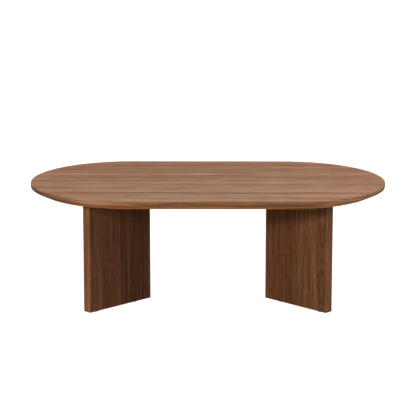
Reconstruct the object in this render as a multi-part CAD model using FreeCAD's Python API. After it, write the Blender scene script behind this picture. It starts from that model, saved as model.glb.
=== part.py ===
import FreeCAD
import Part
import math
import os

# Oval coffee table. A veneered top with straight sides and half-round ends stands on two V-shaped legs.
# Each leg is two wings mitred together, with the point of the V towards the middle of the table.
# Sizes are in millimetres. +Z is up, +X runs along the table to the right, and the front is -Y.
# The origin is on the floor under the centre of the top.

# The whole table
table_height = 413.0
top_length = 1200.0
top_width = 670.0

# The top's edge: an upright land above a reverse bevel
top_thickness = 31.0
bevel_inset = 36.0
bevel_height = 17.0
face_arris_round = 1.5
land_arris_round = 2.0

# The top's layers
veneer_thickness = 0.6
lipping_beyond_bevel = 12.0
tongue_thickness = 8.0
tongue_depth = 8.0
glue_line = 0.1

# The legs, each set in from its end of the top to the free corners of its wings
leg_inset = 207.0
wing_angle = 45.0
wing_width = 278.0
wing_thickness = 32.0
wing_lipping = 10.0
wing_arris_round = 2.5
apex_round = 1.5
spline_thickness = 4.0
spline_width = 22.0
spline_stop = 30.0

# The mounting plates, let into the wings' top edges from the hollow side of the V
plate_thickness = 5.0
plate_bite = 20.0
plate_reach = 150.0
plate_ear = 44.0
plate_corner_round = 6.0
plate_pocket_gap = 0.5

# The countersunk screws that hold a plate to its wings
screw_diameter = 7.0
screw_head_diameter = 11.0
screw_length = 50.0
screws_per_wing = 3
screw_end_margin = 8.0
screw_hole_gap = 0.15

# The bolts, washers and threaded inserts that hold the top to a plate
bolt_diameter = 8.0
bolt_length = 20.0
bolt_head_diameter = 14.0
bolt_head_height = 4.4
bolt_socket_width = 5.0
bolt_socket_depth = 2.6
bolt_setback = 22.0
bolt_hole_gap = 0.5
washer_diameter = 18.0
washer_thickness = 1.6
insert_diameter = 12.0
insert_length = 16.0
insert_flange_diameter = 16.0
insert_flange_thickness = 1.0
insert_thread_gap = 0.1
insert_hole_gap = 0.1
insert_hole_spare = 3.0

# The dowels that locate the wings under the top
dowel_diameter = 10.0
dowel_in_leg = 24.0
dowel_in_top = 16.0
dowel_inset = 44.0
dowel_chamfer = 1.0
dowel_end_gap = 1.5

# The glides under the wings
glide_height = 3.0
glide_diameter = 24.0
glide_edge_round = 1.0
glide_inset = 34.0
nail_diameter = 2.5
nail_length = 18.0
nail_point = 3.0
nail_head_diameter = 7.0
nail_gap = 0.1

# Heights and lengths that follow from these
underside = table_height - top_thickness
land_bottom = underside + bevel_height
face_glue_line = table_height - veneer_thickness
back_glue_line = underside + veneer_thickness
half_straight = (top_length - top_width) / 2
lipping_width = bevel_inset + lipping_beyond_bevel
tongue_middle = (face_glue_line + back_glue_line) / 2
plate_bottom = underside - plate_thickness
angle = math.radians(wing_angle)
heel_along_wing = wing_thickness / math.tan(angle)
apex_to_heel = wing_thickness / math.sin(angle)
apex_from_centre = top_length / 2 - leg_inset - wing_width * math.cos(angle)
washer_bottom = plate_bottom - washer_thickness
bolt_tip = washer_bottom + bolt_length
insert_hole_top = max(underside + insert_length, bolt_tip) + insert_hole_spare
nail_head_bottom = glide_height / 4
nail_head_top = glide_height * 7 / 12
nail_tip = nail_head_top + nail_length
beyond = top_length

sides = {"left": -1, "right": 1}
ends = {"front": -1, "rear": 1}


def at_height(outline, low, high):
    return Part.Face(outline).extrude(FreeCAD.Vector(0, 0, high - low))


def rod(centre, diameter, low, high):
    return Part.makeCylinder(diameter / 2, high - low, FreeCAD.Vector(centre.x, centre.y, low))


def slab(low, high):
    return Part.makeBox(2 * beyond, 2 * beyond, high - low, FreeCAD.Vector(-beyond, -beyond, low))


def half(end):
    corner = FreeCAD.Vector(-beyond, min(0, ends[end] * beyond), -beyond)
    return Part.makeBox(2 * beyond, beyond, 2 * beyond, corner)


def crosswise(left, right):
    return Part.makeBox(right - left, 2 * beyond, 2 * beyond, FreeCAD.Vector(left, -beyond, -beyond))


def single(shape):
    return shape.removeSplitter().Solids[0]


def rounded_outline(corners):
    # A closed outline through (point, radius) corners, each turned with an arc of its own radius.
    turns = []
    for number, (point, radius) in enumerate(corners):
        back = (corners[number - 1][0] - point).normalize()
        ahead = (corners[(number + 1) % len(corners)][0] - point).normalize()
        half_turn = back.getAngle(ahead) / 2
        along = radius / math.tan(half_turn)
        inward = (back + ahead).normalize() * (radius / math.sin(half_turn) - radius)
        turns.append((point + back * along, point + inward, point + ahead * along, radius))
    edges = []
    for number, (start, middle, finish, radius) in enumerate(turns):
        if radius > 0:
            edges.append(Part.Arc(start, middle, finish).toShape())
        edges.append(Part.makeLine(finish, turns[(number + 1) % len(turns)][0]))
    return Part.Wire(edges)


def stadium(inset, height):
    # The outline of the top, drawn in all round by the inset.
    radius = top_width / 2 - inset
    front_left = FreeCAD.Vector(-half_straight, -radius, height)
    front_right = FreeCAD.Vector(half_straight, -radius, height)
    back_right = FreeCAD.Vector(half_straight, radius, height)
    back_left = FreeCAD.Vector(-half_straight, radius, height)
    right_tip = FreeCAD.Vector(half_straight + radius, 0, height)
    left_tip = FreeCAD.Vector(-half_straight - radius, 0, height)
    return Part.Wire([
        Part.makeLine(front_left, front_right),
        Part.Arc(front_right, right_tip, back_right).toShape(),
        Part.makeLine(back_right, back_left),
        Part.Arc(back_left, left_tip, front_left).toShape(),
    ])


def stadium_plate(inset, low, high):
    return at_height(stadium(inset, low), low, high)


def level_edges(shape, height):
    return [e for e in shape.Edges if abs(e.BoundBox.ZMin - height) + abs(e.BoundBox.ZMax - height) < 0.001]


def top_blank():
    # The finished form of the top before it is divided into its layers.
    bevel = Part.makeLoft([stadium(bevel_inset, underside), stadium(0, land_bottom)], True, True)
    blank = single(bevel.fuse(stadium_plate(0, land_bottom, table_height)))
    blank = blank.makeFillet(face_arris_round, level_edges(blank, table_height))
    return blank.makeFillet(land_arris_round, level_edges(blank, land_bottom))


def wing_point(side, end, along, across, height=0.0):
    # A point measured from the apex, along a wing's inner face and across its thickness.
    x = apex_from_centre + along * math.cos(angle) + across * math.sin(angle)
    y = along * math.sin(angle) - across * math.cos(angle)
    return FreeCAD.Vector(sides[side] * x, ends[end] * y, height)


def wing_strip(side, end, from_along, to_along, from_across, to_across):
    low = glide_height
    corners = [
        wing_point(side, end, from_along, from_across, low),
        wing_point(side, end, to_along, from_across, low),
        wing_point(side, end, to_along, to_across, low),
        wing_point(side, end, from_along, to_across, low),
    ]
    return at_height(Part.makePolygon(corners + corners[:1]), low, underside)


def leg_blank(side):
    # Both wings of a leg in plan, with the apex and the arrises of the free ends eased.
    low = glide_height
    outline = rounded_outline([
        (wing_point(side, "front", 0, 0, low), apex_round),
        (wing_point(side, "front", wing_width, 0, low), wing_arris_round),
        (wing_point(side, "front", wing_width, wing_thickness, low), wing_arris_round),
        (wing_point(side, "front", heel_along_wing, wing_thickness, low), 0),
        (wing_point(side, "rear", wing_width, wing_thickness, low), wing_arris_round),
        (wing_point(side, "rear", wing_width, 0, low), wing_arris_round),
    ])
    return at_height(outline, low, underside)


def screw_points(side, end):
    # Along the middle of the strip where a plate lies on a wing.
    first = heel_along_wing + screw_end_margin
    pitch = (plate_reach - first) / screws_per_wing
    across = wing_thickness - plate_bite / 2
    return [wing_point(side, end, first + (n + 0.5) * pitch, across) for n in range(screws_per_wing)]


def bolt_points(side):
    # One bolt near the heel of the V and one by each wing, all set back alike from the wings.
    reach = apex_from_centre + apex_to_heel + bolt_setback / math.sin(angle)
    points = [FreeCAD.Vector(sides[side] * reach, 0, 0)]
    for end in ends:
        along = plate_reach - bolt_setback
        points.append(wing_point(side, end, along, wing_thickness + bolt_setback))
    return points


def dowel_points(side):
    return [wing_point(side, end, wing_width - dowel_inset, wing_thickness / 2) for end in ends]


def glide_points(side, end):
    near_heel = heel_along_wing + glide_inset
    near_free_end = wing_width - glide_inset
    return [wing_point(side, end, along, wing_thickness / 2) for along in (near_heel, near_free_end)]


def plate_outline(side, grow):
    bite = wing_thickness - plate_bite - grow
    reach = plate_reach + grow
    ear = wing_thickness + plate_ear + grow
    turn = plate_corner_round + grow
    return rounded_outline([
        (wing_point(side, "front", bite / math.tan(angle), bite, plate_bottom), turn),
        (wing_point(side, "front", reach, bite, plate_bottom), turn),
        (wing_point(side, "front", reach, ear, plate_bottom), turn),
        (wing_point(side, "rear", reach, ear, plate_bottom), turn),
        (wing_point(side, "rear", reach, bite, plate_bottom), turn),
    ])


def countersunk(centre, gap):
    # A screw's shank and cone, or the hole for them, with the head flush with the plate's upper face.
    radius = screw_diameter / 2 + gap
    head_radius = screw_head_diameter / 2 + gap
    cone_height = head_radius - radius
    cone_base = FreeCAD.Vector(centre.x, centre.y, underside - cone_height)
    cone = Part.makeCone(radius, head_radius, cone_height, cone_base)
    shank = rod(centre, 2 * radius, underside - screw_length - gap, underside - cone_height)
    return single(shank.fuse(cone))


def hex_socket(centre, low):
    reach = bolt_socket_width / math.sqrt(3)
    corners = []
    for n in range(7):
        turn = math.radians(60 * n)
        x = centre.x + reach * math.cos(turn)
        y = centre.y + reach * math.sin(turn)
        corners.append(FreeCAD.Vector(x, y, low))
    return at_height(Part.makePolygon(corners), low, low + bolt_socket_depth)


def mounting_plate(side):
    plate = at_height(plate_outline(side, 0), plate_bottom, underside)
    for end in ends:
        for centre in screw_points(side, end):
            plate = plate.cut(countersunk(centre, screw_hole_gap))
    for centre in bolt_points(side):
        plate = plate.cut(rod(centre, bolt_diameter + 2 * bolt_hole_gap, plate_bottom, underside))
    return single(plate)


def plate_screws(side):
    return [countersunk(centre, 0) for end in ends for centre in screw_points(side, end)]


def bolt_washers(side):
    washers = []
    for centre in bolt_points(side):
        ring = rod(centre, washer_diameter, washer_bottom, plate_bottom)
        hole = rod(centre, bolt_diameter + 2 * bolt_hole_gap, washer_bottom, plate_bottom)
        washers.append(ring.cut(hole))
    return washers


def plate_bolts(side):
    # Button heads with a hexagon socket, tightened from below.
    low = washer_bottom - bolt_head_height
    bolts = []
    for centre in bolt_points(side):
        head = rod(centre, bolt_head_diameter, low, washer_bottom)
        head = head.makeFillet(bolt_head_height / 2, level_edges(head, low))
        bolt = head.fuse(rod(centre, bolt_diameter, washer_bottom, bolt_tip))
        bolts.append(single(bolt.cut(hex_socket(centre, low))))
    return bolts


def threaded_insert(centre, gap):
    # An insert with its flange flush with the underside, or the stepped hole for it.
    flange_top = underside + insert_flange_thickness
    flange = rod(centre, insert_flange_diameter + 2 * gap, underside, flange_top)
    body = rod(centre, insert_diameter + 2 * gap, underside, underside + insert_length)
    return flange.fuse(body)


def threaded_inserts(side):
    inserts = []
    for centre in bolt_points(side):
        bore = rod(centre, bolt_diameter + 2 * insert_thread_gap, underside, underside + insert_length)
        inserts.append(single(threaded_insert(centre, 0).cut(bore)))
    return inserts


def alignment_dowels(side):
    low = underside - dowel_in_leg
    high = underside + dowel_in_top
    dowels = []
    for centre in dowel_points(side):
        dowel = rod(centre, dowel_diameter, low, high)
        dowels.append(dowel.makeChamfer(dowel_chamfer, level_edges(dowel, low) + level_edges(dowel, high)))
    return dowels


def dowel_hole(centre):
    low = underside - dowel_in_leg - dowel_end_gap
    high = underside + dowel_in_top + dowel_end_gap
    return rod(centre, dowel_diameter + 2 * glue_line, low, high)


def mitre_spline(side, gap):
    # A loose strip across the mitre, stopped short of the leg's top and bottom, or its groove.
    thickness = spline_thickness + 2 * gap
    width = spline_width + 2 * gap
    low = glide_height + spline_stop - gap
    high = underside - spline_stop + gap
    middle = sides[side] * (apex_from_centre + apex_to_heel / 2)
    corner = FreeCAD.Vector(middle - thickness / 2, -width / 2, low)
    return Part.makeBox(thickness, width, high - low, corner)


def leg_glides(side):
    # Round pads with a rounded foot and a recess for the nail's head.
    glides = []
    for end in ends:
        for centre in glide_points(side, end):
            pad = rod(centre, glide_diameter, 0, glide_height)
            pad = pad.makeFillet(glide_edge_round, level_edges(pad, 0))
            pad = pad.cut(rod(centre, nail_head_diameter + 2 * nail_gap, 0, nail_head_top))
            glides.append(pad.cut(rod(centre, nail_diameter + 2 * nail_gap, 0, glide_height)))
    return glides


def glide_nails(side):
    nails = []
    for end in ends:
        for centre in glide_points(side, end):
            head = rod(centre, nail_head_diameter, nail_head_bottom, nail_head_top)
            shank = rod(centre, nail_diameter, nail_head_top, nail_tip - nail_point)
            point_base = FreeCAD.Vector(centre.x, centre.y, nail_tip - nail_point)
            point = Part.makeCone(nail_diameter / 2, 0, nail_point, point_base)
            nails.append(single(head.fuse(shank).fuse(point)))
    return nails


def nail_hole(centre):
    return rod(centre, nail_diameter + 2 * nail_gap, 0, nail_tip + nail_gap)


def top_pieces():
    blank = top_blank()
    panel = blank.common(slab(back_glue_line, face_glue_line))
    back_veneer = blank.common(slab(underside, back_glue_line))

    # The core is grooved all round for the lipping's tongue.
    groove_low = tongue_middle - tongue_thickness / 2 - glue_line
    groove_high = tongue_middle + tongue_thickness / 2 + glue_line
    inside_groove = stadium_plate(lipping_width + tongue_depth + glue_line, groove_low, groove_high)
    groove = slab(groove_low, groove_high).cut(inside_groove)
    core = stadium_plate(lipping_width, back_glue_line, face_glue_line).cut(groove)
    for side in sides:
        for centre in bolt_points(side):
            bolt_way = rod(centre, insert_diameter, underside, insert_hole_top)
            hole = threaded_insert(centre, insert_hole_gap).fuse(bolt_way)
            core = core.cut(hole)
            back_veneer = back_veneer.cut(hole)
        for centre in dowel_points(side):
            core = core.cut(dowel_hole(centre))
            back_veneer = back_veneer.cut(dowel_hole(centre))

    # One lipping section runs all round, in two straight lengths and two half-round ends.
    inner = lipping_width - glue_line
    tongue_low = tongue_middle - tongue_thickness / 2
    tongue_high = tongue_middle + tongue_thickness / 2
    ring = panel.cut(stadium_plate(inner, back_glue_line, face_glue_line))
    tongue = stadium_plate(inner, tongue_low, tongue_high)
    tongue = tongue.cut(stadium_plate(lipping_width + tongue_depth, tongue_low, tongue_high))
    ring = ring.fuse(tongue)
    left_end = crosswise(-beyond, -half_straight)
    straights = crosswise(-half_straight, half_straight)
    right_end = crosswise(half_straight, beyond)

    return {
        "top_core": [single(core)],
        "top_face_veneer": [single(blank.common(slab(face_glue_line, table_height)))],
        "top_back_veneer": [single(back_veneer)],
        "top_lipping_front": [single(ring.common(straights).common(half("front")))],
        "top_lipping_back": [single(ring.common(straights).common(half("rear")))],
        "top_lipping_left": [single(ring.common(left_end))],
        "top_lipping_right": [single(ring.common(right_end))],
    }


def wing_pieces(side, end, blank, plate_pocket):
    wing = blank.common(half(end))
    lipping_from = wing_width - wing_lipping
    inner_glue_line = veneer_thickness
    outer_glue_line = wing_thickness - veneer_thickness
    before = -wing_width
    past = 2 * wing_width
    core = wing.common(wing_strip(side, end, before, lipping_from, inner_glue_line, outer_glue_line))
    lipping = wing.common(wing_strip(side, end, lipping_from, past, inner_glue_line, outer_glue_line))
    inner = wing.common(wing_strip(side, end, before, past, before, inner_glue_line))
    outer = wing.common(wing_strip(side, end, before, past, outer_glue_line, past))

    core = core.cut(plate_pocket).cut(mitre_spline(side, glue_line))
    outer = outer.cut(plate_pocket)
    for centre in screw_points(side, end):
        core = core.cut(countersunk(centre, screw_hole_gap))
    for centre in dowel_points(side):
        core = core.cut(dowel_hole(centre))
    for centre in glide_points(side, end):
        core = core.cut(nail_hole(centre))

    wing_name = side + "_leg_" + end
    return {
        wing_name + "_core": [single(core)],
        wing_name + "_inner_veneer": [single(inner)],
        wing_name + "_outer_veneer": [single(outer)],
        wing_name + "_end_lipping": [single(lipping)],
    }


def leg_pieces(side):
    blank = leg_blank(side)
    plate_pocket = at_height(plate_outline(side, plate_pocket_gap), plate_bottom, underside)
    pieces = {}
    for end in ends:
        pieces.update(wing_pieces(side, end, blank, plate_pocket))
    pieces[side + "_leg_mitre_spline"] = [mitre_spline(side, 0)]
    pieces[side + "_mounting_plate"] = [mounting_plate(side)]
    pieces[side + "_plate_screws"] = plate_screws(side)
    pieces[side + "_bolt_washers"] = bolt_washers(side)
    pieces[side + "_plate_bolts"] = plate_bolts(side)
    pieces[side + "_threaded_inserts"] = threaded_inserts(side)
    pieces[side + "_alignment_dowels"] = alignment_dowels(side)
    pieces[side + "_leg_glides"] = leg_glides(side)
    pieces[side + "_glide_nails"] = glide_nails(side)
    return pieces


nodes = top_pieces()
for side in sides:
    nodes.update(leg_pieces(side))

os.makedirs("parts", exist_ok=True)
for name, solids in nodes.items():
    shape = solids[0] if len(solids) == 1 else Part.makeCompound(solids)
    shape.exportStep("parts/" + name + ".step")
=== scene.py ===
import bpy
import bmesh
import math
from mathutils import Matrix, Vector


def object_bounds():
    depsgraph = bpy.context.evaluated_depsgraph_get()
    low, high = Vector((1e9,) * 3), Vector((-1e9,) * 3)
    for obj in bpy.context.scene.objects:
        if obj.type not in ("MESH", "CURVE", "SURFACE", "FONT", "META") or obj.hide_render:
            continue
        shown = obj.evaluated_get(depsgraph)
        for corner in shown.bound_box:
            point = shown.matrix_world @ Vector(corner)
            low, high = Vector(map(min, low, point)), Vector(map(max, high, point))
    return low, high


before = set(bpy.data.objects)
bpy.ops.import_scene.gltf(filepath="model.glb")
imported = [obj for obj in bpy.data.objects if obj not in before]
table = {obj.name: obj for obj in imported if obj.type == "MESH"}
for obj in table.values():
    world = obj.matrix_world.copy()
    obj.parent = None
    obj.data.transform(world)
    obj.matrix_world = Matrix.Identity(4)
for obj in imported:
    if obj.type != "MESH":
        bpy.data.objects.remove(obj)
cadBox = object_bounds()
print("frame loaded with", len(table), "nodes")


# a value on its way through a material; arithmetic on it adds Math nodes
class Flow:
    def __init__(self, finish, socket):
        self.finish = finish
        self.socket = socket

    def calc(self, operation, *terms):
        return self.finish.node("Math", {"operation": operation}, dict(enumerate(terms)))

    def __add__(self, other):
        return self.calc("ADD", self, other)

    def __radd__(self, other):
        return self.calc("ADD", other, self)

    def __sub__(self, other):
        return self.calc("SUBTRACT", self, other)

    def __rsub__(self, other):
        return self.calc("SUBTRACT", other, self)

    def __mul__(self, other):
        return self.calc("MULTIPLY", self, other)

    def __rmul__(self, other):
        return self.calc("MULTIPLY", other, self)

    def __truediv__(self, other):
        return self.calc("DIVIDE", self, other)

    def __rtruediv__(self, other):
        return self.calc("DIVIDE", other, self)

    def __gt__(self, other):
        return self.calc("GREATER_THAN", self, other)

    def __abs__(self):
        return self.calc("ABSOLUTE", self)

    def floor(self):
        return self.calc("FLOOR", self)

    def fraction(self):
        return self.calc("FRACT", self)

    def root(self):
        return self.calc("SQRT", self)

    def sign(self):
        return self.calc("SIGN", self)

    def atLeast(self, other):
        return self.calc("MAXIMUM", self, other)

    def atMost(self, other):
        return self.calc("MINIMUM", self, other)

    def angleFrom(self, other):
        return self.calc("ARCTAN2", self, other)

    # noise and chance lie about a half; this brings them to lie about zero
    def aboutZero(self):
        return self - 0.5

    # 1 at a place, falling to 0 at a reach to each side of it
    def near(self, where, reach):
        return 1.0 - abs(self - where).rise(0.0, reach)

    # another output of the same node
    def also(self, out):
        return Flow(self.finish, self.socket.node.outputs[out])

    # 0 below low, 1 above high, smooth between
    def rise(self, low, high):
        return self.finish.node(
            "MapRange",
            {"interpolation_type": "SMOOTHSTEP"},
            {0: self, 1: low, 2: high, 3: 0.0, 4: 1.0},
        )


# one material while it is being put together
class Finish:
    def __init__(self, name):
        self.material = bpy.data.materials.new(name)
        self.material.use_nodes = True
        self.tree = self.material.node_tree
        self.tree.nodes.clear()

    def node(self, kind, settings=None, sockets=None, out=0):
        made = self.tree.nodes.new("ShaderNode" + kind)
        for key, value in (settings or {}).items():
            if key == "stops":
                self.setStops(made.color_ramp, value)
            else:
                setattr(made, key, value)
        for key, value in (sockets or {}).items():
            if isinstance(value, Flow):
                self.tree.links.new(value.socket, made.inputs[key])
            else:
                made.inputs[key].default_value = value
        return Flow(self, made.outputs[out]) if made.outputs else None

    def setStops(self, ramp, stops):
        while len(ramp.elements) < len(stops):
            ramp.elements.new(1.0)
        for element, (place, colour) in zip(ramp.elements, stops):
            element.position = place
            element.color = (*colour, 1.0)

    # object coordinates are the table's own, in metres
    def place(self):
        split = self.node("SeparateXYZ", None, {0: self.node("TexCoord", out="Object")})
        return [split.also(axis) for axis in "XYZ"]

    def vector(self, x, y, z):
        return self.node("CombineXYZ", None, {0: x, 1: y, 2: z})

    def noise(self, x, y, z, detail=2.0, roughness=0.5):
        sockets = {"Vector": self.vector(x, y, z), "Scale": 1.0, "Detail": detail, "Roughness": roughness}
        return self.node("TexNoise", {"noise_dimensions": "3D"}, sockets)

    # noise in grains of a size given along x, y and z
    def grains(self, place, size, detail=2.0, roughness=0.5):
        x, y, z = (axis / length for axis, length in zip(place, size))
        return self.noise(x, y, z, detail, roughness)

    # one number between 0 and 1 for each seed
    def chance(self, seed):
        return self.node("TexWhiteNoise", {"noise_dimensions": "1D"}, {"W": seed})

    def mix(self, factor, first, second, blend="MIX"):
        settings = {"data_type": "RGBA", "blend_type": blend, "clamp_factor": True}
        return self.node("Mix", settings, {0: factor, 6: first, 7: second}, out=2)

    # colours multiplied, so that the figure of the wood stays
    def tint(self, factor, colour, shade):
        return self.mix(factor, colour, shade, "MULTIPLY")

    def ramp(self, value, stops):
        return self.node("ValToRGB", {"stops": stops}, {0: value})

    def bump(self, height, distance, strength=1.0):
        return self.node("Bump", None, {"Height": height, "Distance": distance, "Strength": strength})

    def surface(self, **sockets):
        names = {
            "colour": "Base Color",
            "roughness": "Roughness",
            "metallic": "Metallic",
            "specular": "Specular IOR Level",
            "glow": "Emission Color",
            "glowStrength": "Emission Strength",
            "normal": "Normal",
        }
        shader = self.node("BsdfPrincipled", None, {names[key]: value for key, value in sockets.items()})
        self.node("OutputMaterial", None, {"Surface": shader})
        return self.material


def paint(material, *names):
    for name in names:
        slots = table[name].data.materials
        slots.clear()
        slots.append(material)


sides = ("left", "right")


def bothSides(*endings):
    return [side + ending for side in sides for ending in endings]


# camera worked out from the photo's outlines
look = {
    "place": (-0.0051, -6.6402, 1.8228),
    "pan": 0.045,  # degrees
    "tilt": 12.767,
    "roll": 0.07,
    "focalPixels": 2001.0,
    "photoPixels": 416,
    "sensor": 36.0,
    "farClip": 200.0,
}


def addCamera():
    data = bpy.data.cameras.new("photoCamera")
    data.sensor_width = look["sensor"]
    data.lens = look["focalPixels"] / look["photoPixels"] * look["sensor"]
    data.clip_end = look["farClip"]
    pan, tilt, roll = (math.radians(look[key]) for key in ("pan", "tilt", "roll"))
    ahead = Vector((math.sin(pan) * math.cos(tilt), math.cos(pan) * math.cos(tilt), -math.sin(tilt)))
    level = Vector((math.cos(pan), -math.sin(pan), 0.0))
    upright = level.cross(ahead)
    right = level * math.cos(roll) + upright * math.sin(roll)
    up = upright * math.cos(roll) - level * math.sin(roll)
    turn = Matrix((right, up, -ahead)).transposed().to_4x4()
    camera = bpy.data.objects.new("photoCamera", data)
    camera.matrix_world = Matrix.Translation(look["place"]) @ turn
    bpy.context.scene.collection.objects.link(camera)
    bpy.context.scene.camera = camera


addCamera()
print("camera set")


# studio: a pale floor with a glow of its own, a soft sky and five soft lamps
studio = {
    "floorRadius": 40.0,
    "floorSides": 96,
    "floorColour": (0.16, 0.16, 0.16, 1.0),
    "floorRoughness": 0.9,
    "floorSpecular": 0.1,
    "glowNear": (0.94, 0.94, 0.94, 1.0),
    "glowFar": (1.00, 1.00, 1.00, 1.0),
    "glowReach": (1.6, 5.5),  # metres from the table
    "glowStrength": 1.0,
    "sky": (1.0, 1.0, 1.0, 1.0),
    "skyStrength": 0.25,
    # name: place, width, height, watts
    "lamps": {
        "overLamp": ((-0.3, -0.5, 3.2), 3.0, 3.0, 28.0),
        "backLamp": ((0.0, 2.2, 3.0), 2.5, 2.5, 119.0),
        "keyLamp": ((-2.4, -4.0, 1.98), 1.5, 0.7, 320.0),
        "sideLamp": ((3.6, -0.6, 1.6), 2.2, 2.2, 26.0),
        "rightLamp": ((2.6, -0.8, 3.0), 2.2, 2.2, 112.0),
    },
    "aim": (0.0, 0.0, 0.25),
}


def addFloor():
    mesh = bpy.data.meshes.new("studioFloor")
    disc = bmesh.new()
    bmesh.ops.create_circle(
        disc, cap_ends=True, segments=studio["floorSides"], radius=studio["floorRadius"]
    )
    disc.to_mesh(mesh)
    disc.free()
    floor = bpy.data.objects.new("studioFloor", mesh)
    bpy.context.scene.collection.objects.link(floor)
    finish = Finish("paleFloor")
    x, y, z = finish.place()
    far = (x * x + y * y).root().rise(*studio["glowReach"])
    pale = finish.surface(
        colour=studio["floorColour"],
        roughness=studio["floorRoughness"],
        specular=studio["floorSpecular"],
        glow=finish.mix(far, studio["glowNear"], studio["glowFar"]),
        glowStrength=studio["glowStrength"],
    )
    mesh.materials.append(pale)


def addLamps():
    for name, (place, width, height, watts) in studio["lamps"].items():
        data = bpy.data.lights.new(name, "AREA")
        data.shape = "RECTANGLE"
        data.size = width
        data.size_y = height
        data.energy = watts
        lamp = bpy.data.objects.new(name, data)
        lamp.location = place
        lamp.rotation_mode = "QUATERNION"
        lamp.rotation_quaternion = (Vector(studio["aim"]) - Vector(place)).to_track_quat("-Z", "Y")
        bpy.context.scene.collection.objects.link(lamp)


def addSky():
    world = bpy.data.worlds.new("studioSky")
    world.use_nodes = True
    background = world.node_tree.nodes["Background"]
    background.inputs["Color"].default_value = studio["sky"]
    background.inputs["Strength"].default_value = studio["skyStrength"]
    bpy.context.scene.world = world
    bpy.context.scene.view_settings.view_transform = "Standard"


addFloor()
addLamps()
addSky()
print("studio lit")


# walnut, shared by every veneer and lipping
walnut = {
    "stops": [  # from its darkest streaks to its palest; the greyer pale stops carry painted sheen
        (0.00, (0.040, 0.0115, 0.0030)),
        (0.25, (0.082, 0.0295, 0.0100)),
        (0.50, (0.126, 0.0500, 0.0190)),
        (0.75, (0.161, 0.0852, 0.0478)),
        (1.00, (0.205, 0.1168, 0.0700)),
    ],
    "warm": (0.150, 0.0430, 0.0092, 1.0),
    "pore": (0.022, 0.0066, 0.0017, 1.0),
    # near black, for the legs' painted shade
    "legShade": (0.006, 0.0018, 0.0005, 1.0),
    # streaks of four widths: how many times shorter than the cut's own streak length, seed, detail
    "layers": {
        "broad": (1.0, 0.0, 1.0),
        "band": (1.7, 5.3, 1.5),
        "thread": (4.0, 9.1, 2.0),
        "stripe": (0.8, 4.4, 0.5),
    },
    # seeds of the rest, and the step from leaf to leaf
    "leafSeed": 3.71,
    "peakSeed": 0.37,
    "leafToneSeed": 0.71,
    "blushSeed": 1.9,
    "hairSeed": 2.7,
    "poreSeed": 6.4,
    "fleckSeed": 7.7,
    # waves, blushes and pores in a metre, along and across the grain
    "waves": (1.7, 7.0),
    "blushes": (0.9, 9.0),
    "pores": (110.0, 2600.0),
    "hairs": 1700.0,  # fibres in a metre, across
    "hairShort": 18.0,  # how many times shorter they are than the streaks
    "hair": 0.18,
    "fleckRoughness": 0.6,
    "stripeSharp": 5.0,
    "blushEdge": (0.45, 0.75),
    "poreEdge": (0.60, 0.72),
    "earlyPores": 0.35,  # share of the pores that is left where a growth ring starts
    "poreDark": 0.5,
    "poreRough": 0.16,
    "threadRough": 0.10,
    "ringDrift": 3.0,  # how many rings the broad streaks shift the pattern by
    "ringMean": 0.33,  # mean of a ring squared, so that stronger rings keep the mean tone
    "hairRelief": 0.25,
    "threadRelief": 0.35,
    "relief": 0.00012,
    "reliefStrength": 0.6,
}


# streaks, growth rings, fibres and pores for a cut of walnut; coordinates in metres
def walnutGrain(finish, along, across, seed, cut, lift=0.0):
    leaf = (across / cut["leaf"]).floor()
    own = leaf * walnut["leafSeed"] + seed
    heart = finish.chance(own).aboutZero() * cut["offHeart"]
    peak = finish.chance(own + walnut["peakSeed"]).aboutZero() * cut["length"]
    leafTone = finish.chance(own + walnut["leafToneSeed"]).aboutZero() * cut["leafTone"]

    # the growth line through a point: straight far from the heart, peaked close to it
    inLeaf = across - (leaf + 0.5) * cut["leaf"] - heart
    climb = (along - peak) * cut["taper"]
    wavesAlong, wavesAcross = walnut["waves"]
    waves = finish.noise(along * wavesAlong, across * wavesAcross, own).aboutZero()
    wander = waves * cut["wander"]
    line = (inLeaf * inLeaf + climb * climb).root() + wander
    fibre = across + wander  # fibres and pores run with the board, also at the heart

    streak = along / cut["streak"]
    layer = {}
    for name, (shorter, apart, detail) in walnut["layers"].items():
        layer[name] = finish.noise(streak * shorter, line / cut[name + "Every"], own + apart, detail)
    stripe = (1.0 - abs(layer["stripe"].aboutZero()) * walnut["stripeSharp"]).atLeast(0.0)
    thread = layer["thread"].aboutZero()
    fleckSeed = own + walnut["fleckSeed"]
    fleckAlong = along / cut["fleckLength"]
    fleck = finish.noise(fleckAlong, line / cut["fleckEvery"], fleckSeed, 2.0, walnut["fleckRoughness"])
    hairSeed = own + walnut["hairSeed"]
    hair = finish.noise(streak * walnut["hairShort"], fibre * walnut["hairs"], hairSeed, 1.0)
    ring = (line / cut["ringEvery"] + layer["broad"] * walnut["ringDrift"]).fraction()
    poresAlong, poresAcross = walnut["pores"]
    dash = finish.noise(along * poresAlong, fibre * poresAcross, own + walnut["poreSeed"], 1.0)
    early = walnut["earlyPores"]
    pores = dash.rise(*walnut["poreEdge"]) * (early + (1.0 - early) * ring)
    blushAlong, blushAcross = walnut["blushes"]
    blush = finish.noise(along * blushAlong, line * blushAcross, own + walnut["blushSeed"], 1.0)

    tone = (
        cut["tone"]
        + lift
        + leafTone
        - stripe * cut["stripe"]
        + layer["broad"].aboutZero() * cut["broad"]
        + layer["band"].aboutZero() * cut["band"]
        + thread * cut["thread"]
        + fleck.aboutZero() * cut["fleck"]
        + hair.aboutZero() * walnut["hair"]
        + (walnut["ringMean"] - ring * ring) * cut["ring"]
    )
    colour = finish.ramp(tone.atLeast(cut["darkest"]), walnut["stops"])
    colour = finish.mix(blush.rise(*walnut["blushEdge"]) * cut["blush"], colour, walnut["warm"])
    colour = finish.mix(pores * walnut["poreDark"], colour, walnut["pore"])
    roughness = cut["roughness"] + pores * walnut["poreRough"] + thread * walnut["threadRough"]
    height = hair * walnut["hairRelief"] + thread * walnut["threadRelief"] - pores
    return colour, roughness, height


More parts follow.
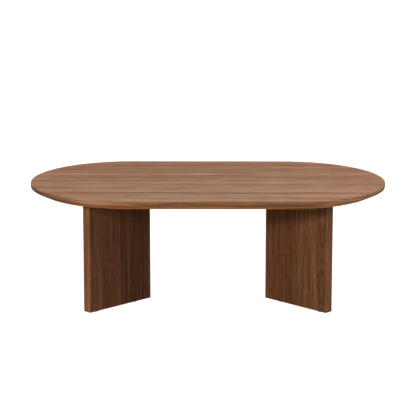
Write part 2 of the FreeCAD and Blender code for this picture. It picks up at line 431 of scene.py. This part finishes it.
def walnutSurface(finish, cut, colour, roughness, height):
    normal = finish.bump(height, walnut["relief"], walnut["reliefStrength"])
    return finish.surface(colour=colour, roughness=roughness, specular=cut["specular"], normal=normal)


# lengths in metres; a name that ends in Every is the width of that layer's streaks
faceVeneer = {
    "seed": 9.5,
    "leaf": 0.168,  # width of a leaf of veneer
    "leafTone": 0.05,
    "offHeart": 0.90,  # spread of the log's heart about the middle of a leaf
    "length": 1.6,  # spread of the peaks along it
    "taper": 0.03,  # how blunt the peaks are
    "wander": 0.006,
    "streak": 3.2,
    "broadEvery": 0.085,
    "bandEvery": 0.028,
    "threadEvery": 0.0080,
    "ringEvery": 0.013,
    "stripeEvery": 0.032,
    "fleckLength": 0.10,
    "fleckEvery": 0.023,
    # pale and greyish: painted sheen and light on the same walnut as the legs
    "tone": 0.85,
    "darkest": 0.36,
    "broad": 0.15,
    "band": 0.50,
    "thread": 1.00,
    "ring": 0.12,
    "stripe": 0.34,
    "fleck": 0.66,
    "blush": 0.06,
    "roughness": 0.52,
    "specular": 0.03,
}
# the underside: other leaves, plainer and duller
backVeneer = dict(
    faceVeneer, seed=17.3, leaf=0.224, tone=0.68, thread=0.70, stripe=0.20, fleck=0.55, roughness=0.64
)


def dressVeneer(name, cut, piece):
    finish = Finish(name)
    x, y, z = finish.place()
    colour, roughness, height = walnutGrain(finish, x, y, cut["seed"], cut)
    paint(walnutSurface(finish, cut, colour, roughness, height), piece)


# the top's outline, for the coordinates of its edge
halfLength, halfWidth, topHeight = cadBox[1]
outline = {
    "straight": halfLength - halfWidth,  # half of each straight side
    "radius": halfWidth,
    "height": topHeight,
    "land": 0.014,  # upright part of the edge, above the bevel
}

edgeLipping = {
    "seed": 31.0,
    "swellSeed": 3.1,
    "leaf": 4.0,
    "leafTone": 0.0,
    "offHeart": 0.0,
    "length": 0.5,
    "taper": 0.02,
    "wander": 0.004,
    "streak": 0.30,
    "broadEvery": 0.040,
    "bandEvery": 0.010,
    "threadEvery": 0.0030,
    "ringEvery": 0.0085,
    "stripeEvery": 0.012,
    "fleckLength": 0.030,
    "fleckEvery": 0.0040,
    "tone": 0.48,
    "darkest": 0.06,
    "broad": 0.30,
    "band": 0.90,
    "thread": 0.45,
    "ring": 0.45,
    "stripe": 0.18,
    "fleck": 0.30,
    "blush": 0.20,
    "roughness": 0.45,
    "specular": 0.030,
    "backWood": 4.2,  # the back edge is cut from another part of the board, this far along
    "fromHeart": 1.0,
    "ringsOut": 0.55,  # slope of the rings, outwards and upwards
    "ringsUp": 0.83,
    "swell": 0.034,  # how far the rings rise and fall along the edge
    "swellEvery": 0.22,
    "arrisFade": (-0.0035, -0.0005),  # from the face
    "arris": 0.08,  # lighter along the top arris: sanded wood, and a painted highlight on its rounding
    "landFade": (-0.003, 0.0),  # from the land's lower arris, and so are the next two
    "lowFrom": (-0.004, -0.001),
    "lowTo": (0.001, 0.005),
    "lowArrisShade": 0.36,  # painted shade along the land's lower arris
    "grey": (0.118, 0.0580, 0.0300, 1.0),  # painted sheen: the upright land greyed against the bevel
    "landSheen": 0.30,
    "bevelFloorLight": (2.00, 1.66, 0.86, 1.0),  # painted light from the floor: tints the bevel lighter and warmer than the land
    "bevelRoughness": 0.45,  # added below the land
    # painted light and shade along the edge: lengths of the land lit paler, and lengths turned into deeper
    # shade; place along the edge from the front's middle, reach to each side, and how much
    "litLengths": [(-0.36, 0.14, 0.40), (0.50, 0.24, 0.50)],
    "shadedLengths": [(-0.68, 0.28, 1.15), (0.80, 0.18, 0.45)],
    "shadeTint": (0.50, 0.38, 0.27, 1.0),  # tints the lengths of painted shade
}


# solid wood round the rim: its grain follows the edge, and its rings cut across land and bevel
def dressEdge(name, backRun, *pieces):
    finish = Finish(name)
    x, y, z = finish.place()
    past = (abs(x) - outline["straight"]).atLeast(0.0)
    reach = (past * past + y * y).root()
    if backRun:
        along = x + edgeLipping["backWood"]
    else:
        sweep = past.angleFrom(-1.0 * y) * outline["radius"]
        along = x.sign() * (abs(x).atMost(outline["straight"]) + sweep)
    swell = finish.noise(along / edgeLipping["swellEvery"], 0.0, edgeLipping["swellSeed"], 1.0).aboutZero()
    slope = reach * edgeLipping["ringsOut"] + z * edgeLipping["ringsUp"]
    across = edgeLipping["fromHeart"] + slope + swell * edgeLipping["swell"]

    fromFace = z - outline["height"]
    fromLow = fromFace + outline["land"]
    # painted highlight and sanded wood along the top arris
    arris = fromFace.rise(*edgeLipping["arrisFade"])
    land = fromLow.rise(*edgeLipping["landFade"])
    bevel = 1.0 - land
    # painted shade along the land's lower arris
    low = fromLow.rise(*edgeLipping["lowFrom"]) * (1.0 - fromLow.rise(*edgeLipping["lowTo"]))
    lift = arris * edgeLipping["arris"] - low * edgeLipping["lowArrisShade"]
    # painted light: paler lengths of the land
    for where, half, tone in edgeLipping["litLengths"]:
        lift = lift + along.near(where, half) * land * tone
    colour, roughness, height = walnutGrain(finish, along, across, edgeLipping["seed"], edgeLipping, lift)
    # painted sheen greying the upright land
    colour = finish.mix(land * edgeLipping["landSheen"], colour, edgeLipping["grey"])
    # painted light from the floor on the bevel
    colour = finish.tint(bevel, colour, edgeLipping["bevelFloorLight"])
    # painted shade: deeper lengths of the edge
    for where, half, share in edgeLipping["shadedLengths"]:
        colour = finish.tint(along.near(where, half) * share, colour, edgeLipping["shadeTint"])
    roughness = roughness + bevel * edgeLipping["bevelRoughness"]
    paint(walnutSurface(finish, edgeLipping, colour, roughness, height), *pieces)


# each wing runs at 45 degrees, from the mitre near the table's middle out to its free end
wing = {
    "ends": ("_leg_front", "_leg_rear"),
    "midRun": 0.278,  # middle of a wing, measured along it from the table's middle
    "midThick": 0.155,  # middle of its thickness, measured square to that
}
wings = bothSides(*wing["ends"])

legVeneer = {
    "seed": 1.8,
    "otherSide": 6.3,  # added to the seed: leaves of their own for each leg, wing and face
    "otherEnd": 11.9,
    "otherFace": 3.3,
    "leaf": 0.139,
    "leafTone": 0.09,
    "offHeart": 0.70,
    "length": 0.9,
    "taper": 0.09,
    "wander": 0.006,
    "streak": 0.60,
    "broadEvery": 0.040,
    "bandEvery": 0.0085,
    "threadEvery": 0.0040,
    "ringEvery": 0.0046,
    "stripeEvery": 0.018,
    "fleckLength": 0.022,
    "fleckEvery": 0.0040,
    # lower than the face's tone: painted shade on the same walnut
    "tone": 0.27,
    "darkest": 0.02,
    "broad": 0.30,
    "band": 0.36,
    "thread": 0.66,
    "ring": 0.14,
    "stripe": 0.12,
    "fleck": 0.55,
    "blush": 0.10,
    "roughness": 0.54,
    "specular": 0.05,
    "pale": 0.66,  # painted light and shade: paler towards the free end, darker towards the middle under the top
    "mitre": (0.139, 0.185),  # a paler strip beside the mitre
    "mitrePale": 0.15,
    "corner": (0.350, 0.382),  # heights of the painted shade on the legs just under the top
    "underTopShade": 0.17,
    "legShade": 0.27,  # painted shade: the legs, of the same walnut as the top, darkened for the shade under it
}


# along the wing, off its middle plane, and up; with a seed for each wing
def wingPlace(finish):
    x, y, z = finish.place()
    run = (abs(x) + abs(y)) * math.sqrt(0.5)
    off = (abs(x) - abs(y)) * math.sqrt(0.5) - wing["midThick"]
    seed = legVeneer["seed"] + (x > 0.0) * legVeneer["otherSide"] + (y > 0.0) * legVeneer["otherEnd"]
    return run, off, z, seed


# the broad faces, with their grain upright
def dressLegFaces():
    finish = Finish("walnutLeg")
    run, off, up, seed = wingPlace(finish)
    seed = seed + (off > 0.0) * legVeneer["otherFace"]
    strip = 1.0 - run.rise(*legVeneer["mitre"])
    # painted shade: the leg darkened just under the top
    corner = up.rise(*legVeneer["corner"]) * legVeneer["underTopShade"]
    # painted light and shade: darker towards the middle under the top, paler out to the free end
    lift = (run - wing["midRun"]) * legVeneer["pale"] + strip * legVeneer["mitrePale"] - corner
    colour, roughness, height = walnutGrain(finish, up, run, seed, legVeneer, lift)
    # painted shade over the legs' walnut
    colour = finish.mix(legVeneer["legShade"], colour, walnut["legShade"])
    pieces = [name + skin for name in wings for skin in ("_inner_veneer", "_outer_veneer")]
    paint(walnutSurface(finish, legVeneer, colour, roughness, height), *pieces)


# the wings' free ends: one solid strip each, without the veneer's leaves
legEnd = dict(
    legVeneer,
    leaf=4.0,
    leafTone=0.0,
    offHeart=0.0,
    tone=0.46,
    broad=0.35,
    blush=0.2,
    fromHeart=1.0,
    ringsThrough=0.90,  # slope of the rings, through and along the wing
    ringsAlong=0.44,
    arrisFade=(0.0120, 0.0160),  # from the middle plane
    arris=0.16,
    slope=4.0,  # paler towards the inner face
    outerHalf=(-0.006, 0.006),
    reddish=(0.90, 0.79, 0.92, 1.0),  # tints the outer half
)


def dressLegEnds():
    finish = Finish("walnutLegEnd")
    run, off, up, seed = wingPlace(finish)
    through = off + wing["midThick"]
    across = legEnd["fromHeart"] + through * legEnd["ringsThrough"] + run * legEnd["ringsAlong"]
    # painted shade: the end darkened just under the top
    corner = up.rise(*legEnd["corner"]) * legEnd["underTopShade"]
    arris = abs(off).rise(*legEnd["arrisFade"])
    lift = arris * legEnd["arris"] - off * legEnd["slope"] - corner
    colour, roughness, height = walnutGrain(finish, up, across, seed, legEnd, lift)
    colour = finish.tint(off.rise(*legEnd["outerHalf"]), colour, legEnd["reddish"])
    pieces = [name + "_end_lipping" for name in wings]
    paint(walnutSurface(finish, legEnd, colour, roughness, height), *pieces)


dressVeneer("walnutFace", faceVeneer, "top_face_veneer")
dressVeneer("walnutBacking", backVeneer, "top_back_veneer")
dressEdge("walnutEdge", False, "top_lipping_front", "top_lipping_left", "top_lipping_right")
dressEdge("walnutEdgeBack", True, "top_lipping_back")
dressLegFaces()
dressLegEnds()
print("walnut dressed")


# pressed fibre inside the top and the wings; it shows on the wings' undersides
coreBoard = {
    "pale": (0.330, 0.225, 0.135, 1.0),
    "dark": (0.190, 0.120, 0.066, 1.0),
    "clump": (0.0050, 0.0050, 0.0050),  # grain sizes in metres, here and below
    "fibre": (0.0009, 0.0009, 0.0009),
    "clumpShare": 0.55,
    "shade": (0.38, 0.62),
    "roughness": 0.84,
    "fibreRough": 0.2,
    "relief": 0.00010,
    "reliefStrength": 0.7,
}


def dressCores():
    finish = Finish("coreBoardFibre")
    place = finish.place()
    clump = finish.grains(place, coreBoard["clump"], 3.0, 0.6)
    fibre = finish.grains(place, coreBoard["fibre"])
    share = coreBoard["clumpShare"]
    shade = (clump * share + fibre * (1.0 - share)).rise(*coreBoard["shade"])
    colour = finish.mix(shade, coreBoard["dark"], coreBoard["pale"])
    roughness = coreBoard["roughness"] + fibre.aboutZero() * coreBoard["fibreRough"]
    normal = finish.bump(fibre, coreBoard["relief"], coreBoard["reliefStrength"])
    board = finish.surface(colour=colour, roughness=roughness, normal=normal)
    paint(board, "top_core", *[name + "_core" for name in wings])


# birch plywood keys in the mitres
birchKey = {
    "along": (0.560, 0.400, 0.240, 1.0),
    "endwise": (0.360, 0.225, 0.120, 1.0),
    "ply": 0.0013,  # thickness of a ply; every other one is turned
    "upright": (0.0010, 0.0012, 0.0180),
    "crossed": (0.0010, 0.0180, 0.0012),
    "turnedShare": 0.5,
    "shade": (0.15, 0.85),
    "roughness": 0.66,
    "grainRough": 0.15,
    "relief": 0.00006,
}


def dressKeys():
    finish = Finish("birchPlyKey")
    place = finish.place()
    turned = (abs(place[0]) / (birchKey["ply"] * 2.0)).fraction() > 0.5
    upright = finish.grains(place, birchKey["upright"])
    crossed = finish.grains(place, birchKey["crossed"])
    grain = upright + (crossed - upright) * turned
    share = birchKey["turnedShare"]
    shade = (turned * share + grain * (1.0 - share)).rise(*birchKey["shade"])
    colour = finish.mix(shade, birchKey["along"], birchKey["endwise"])
    roughness = birchKey["roughness"] + grain.aboutZero() * birchKey["grainRough"]
    normal = finish.bump(grain, birchKey["relief"])
    ply = finish.surface(colour=colour, roughness=roughness, normal=normal)
    paint(ply, *bothSides("_leg_mitre_spline"))


# beech pegs, with the short dark flecks of the wood
beechDowel = {
    "pale": (0.520, 0.335, 0.190, 1.0),
    "fleck": (0.300, 0.160, 0.076, 1.0),
    "fibre": (0.0016, 0.0016, 0.0300),
    "dash": (0.00045, 0.00045, 0.0028),
    "dashEdge": (0.60, 0.70),
    "dashDark": 0.7,
    "fibreDark": 0.5,
    "roughness": 0.60,
    "dashRough": 0.12,
    "dashRelief": 0.3,
    "relief": 0.00006,
}


def dressDowels():
    finish = Finish("beechDowel")
    place = finish.place()
    fibre = finish.grains(place, beechDowel["fibre"])
    dash = finish.grains(place, beechDowel["dash"], 1.0).rise(*beechDowel["dashEdge"])
    shade = dash * beechDowel["dashDark"] + fibre.aboutZero() * beechDowel["fibreDark"]
    colour = finish.mix(shade, beechDowel["pale"], beechDowel["fleck"])
    roughness = beechDowel["roughness"] + dash * beechDowel["dashRough"]
    normal = finish.bump(fibre - dash * beechDowel["dashRelief"], beechDowel["relief"])
    beech = finish.surface(colour=colour, roughness=roughness, normal=normal)
    paint(beech, *bothSides("_alignment_dowels"))


# powder coat: a fine orange peel, and a little dust in the dull patches
blackPlate = {
    "black": (0.0165, 0.0165, 0.0175, 1.0),
    "dusty": (0.0330, 0.0320, 0.0310, 1.0),
    "peel": (0.0011, 0.0011, 0.0011),
    "patch": (0.022, 0.022, 0.022),
    "patchEdge": (0.45, 0.75),
    "roughness": 0.46,
    "patchRough": 0.25,
    "peelRough": 0.08,
    "relief": 0.00006,
    "reliefStrength": 0.8,
}


def dressPlates():
    finish = Finish("blackPowderCoat")
    place = finish.place()
    peel = finish.grains(place, blackPlate["peel"], 1.0)
    patch = finish.grains(place, blackPlate["patch"], 3.0, 0.6)
    colour = finish.mix(patch.rise(*blackPlate["patchEdge"]), blackPlate["black"], blackPlate["dusty"])
    dullness = patch.aboutZero() * blackPlate["patchRough"] + peel.aboutZero() * blackPlate["peelRough"]
    roughness = blackPlate["roughness"] + dullness
    normal = finish.bump(peel, blackPlate["relief"], blackPlate["reliefStrength"])
    coat = finish.surface(colour=colour, roughness=roughness, normal=normal)
    paint(coat, *bothSides("_mounting_plate"))


# bright zinc on the screws, bolts, washers and nails: cloudy patches and fine drawn lines
brightZinc = {
    "clean": (0.620, 0.630, 0.650, 1.0),
    "dull": (0.430, 0.445, 0.470, 1.0),
    "cloud": (0.0030, 0.0030, 0.0030),
    "cloudEdge": (0.35, 0.68),
    "lines": (0.0006, 0.0006, 0.00018),
    "roughness": 0.30,
    "cloudRough": 0.25,
    "lineRough": 0.15,
    "relief": 0.00002,
}

# turned brass in the top
insertBrass = {
    "clean": (0.720, 0.500, 0.220, 1.0),
    "dull": (0.420, 0.270, 0.110, 1.0),
    "cloud": (0.0040, 0.0040, 0.0040),
    "cloudEdge": (0.40, 0.75),
    "lines": (0.0040, 0.0040, 0.00015),
    "roughness": 0.32,
    "cloudRough": 0.3,
    "lineRough": 0.12,
    "relief": 0.00002,
}


def dressMetal(name, metal, *endings):
    finish = Finish(name)
    place = finish.place()
    cloud = finish.grains(place, metal["cloud"])
    lines = finish.grains(place, metal["lines"], 1.0)
    colour = finish.mix(cloud.rise(*metal["cloudEdge"]), metal["clean"], metal["dull"])
    dullness = cloud.aboutZero() * metal["cloudRough"] + lines.aboutZero() * metal["lineRough"]
    roughness = metal["roughness"] + dullness
    normal = finish.bump(lines, metal["relief"])
    bright = finish.surface(colour=colour, metallic=1.0, roughness=roughness, normal=normal)
    paint(bright, *bothSides(*endings))


# moulded glides, scuffed where they slide on the floor
nylonGlide = {
    "brown": (0.052, 0.0290, 0.0170, 1.0),
    "scuffed": (0.125, 0.0880, 0.0620, 1.0),
    "mould": (0.0008, 0.0008, 0.0008),
    "scratch": (0.0040, 0.0006, 0.0040),
    "scratchEdge": (0.50, 0.72),
    "scuffTop": (0.0002, 0.0012),  # metres above the floor
    "scuffPale": 0.8,
    "mouldPale": 0.2,
    "roughness": 0.44,
    "scuffRough": 0.3,
    "mouldRough": 0.1,
    "relief": 0.00003,
}


def dressGlides():
    finish = Finish("brownNylon")
    place = finish.place()
    mould = finish.grains(place, nylonGlide["mould"], 1.0)
    scratch = finish.grains(place, nylonGlide["scratch"]).rise(*nylonGlide["scratchEdge"])
    scuff = scratch * (1.0 - place[2].rise(*nylonGlide["scuffTop"]))
    shade = scuff * nylonGlide["scuffPale"] + mould.aboutZero() * nylonGlide["mouldPale"]
    colour = finish.mix(shade, nylonGlide["brown"], nylonGlide["scuffed"])
    dullness = scuff * nylonGlide["scuffRough"] + mould.aboutZero() * nylonGlide["mouldRough"]
    roughness = nylonGlide["roughness"] + dullness
    normal = finish.bump(mould - scuff, nylonGlide["relief"])
    nylon = finish.surface(colour=colour, roughness=roughness, normal=normal)
    paint(nylon, *bothSides("_leg_glides"))


dressCores()
dressKeys()
dressDowels()
dressPlates()
dressMetal("brightZinc", brightZinc, "_plate_screws", "_plate_bolts", "_bolt_washers", "_glide_nails")
dressMetal("insertBrass", insertBrass, "_threaded_inserts")
dressGlides()
print("cores, fixings and glides dressed")
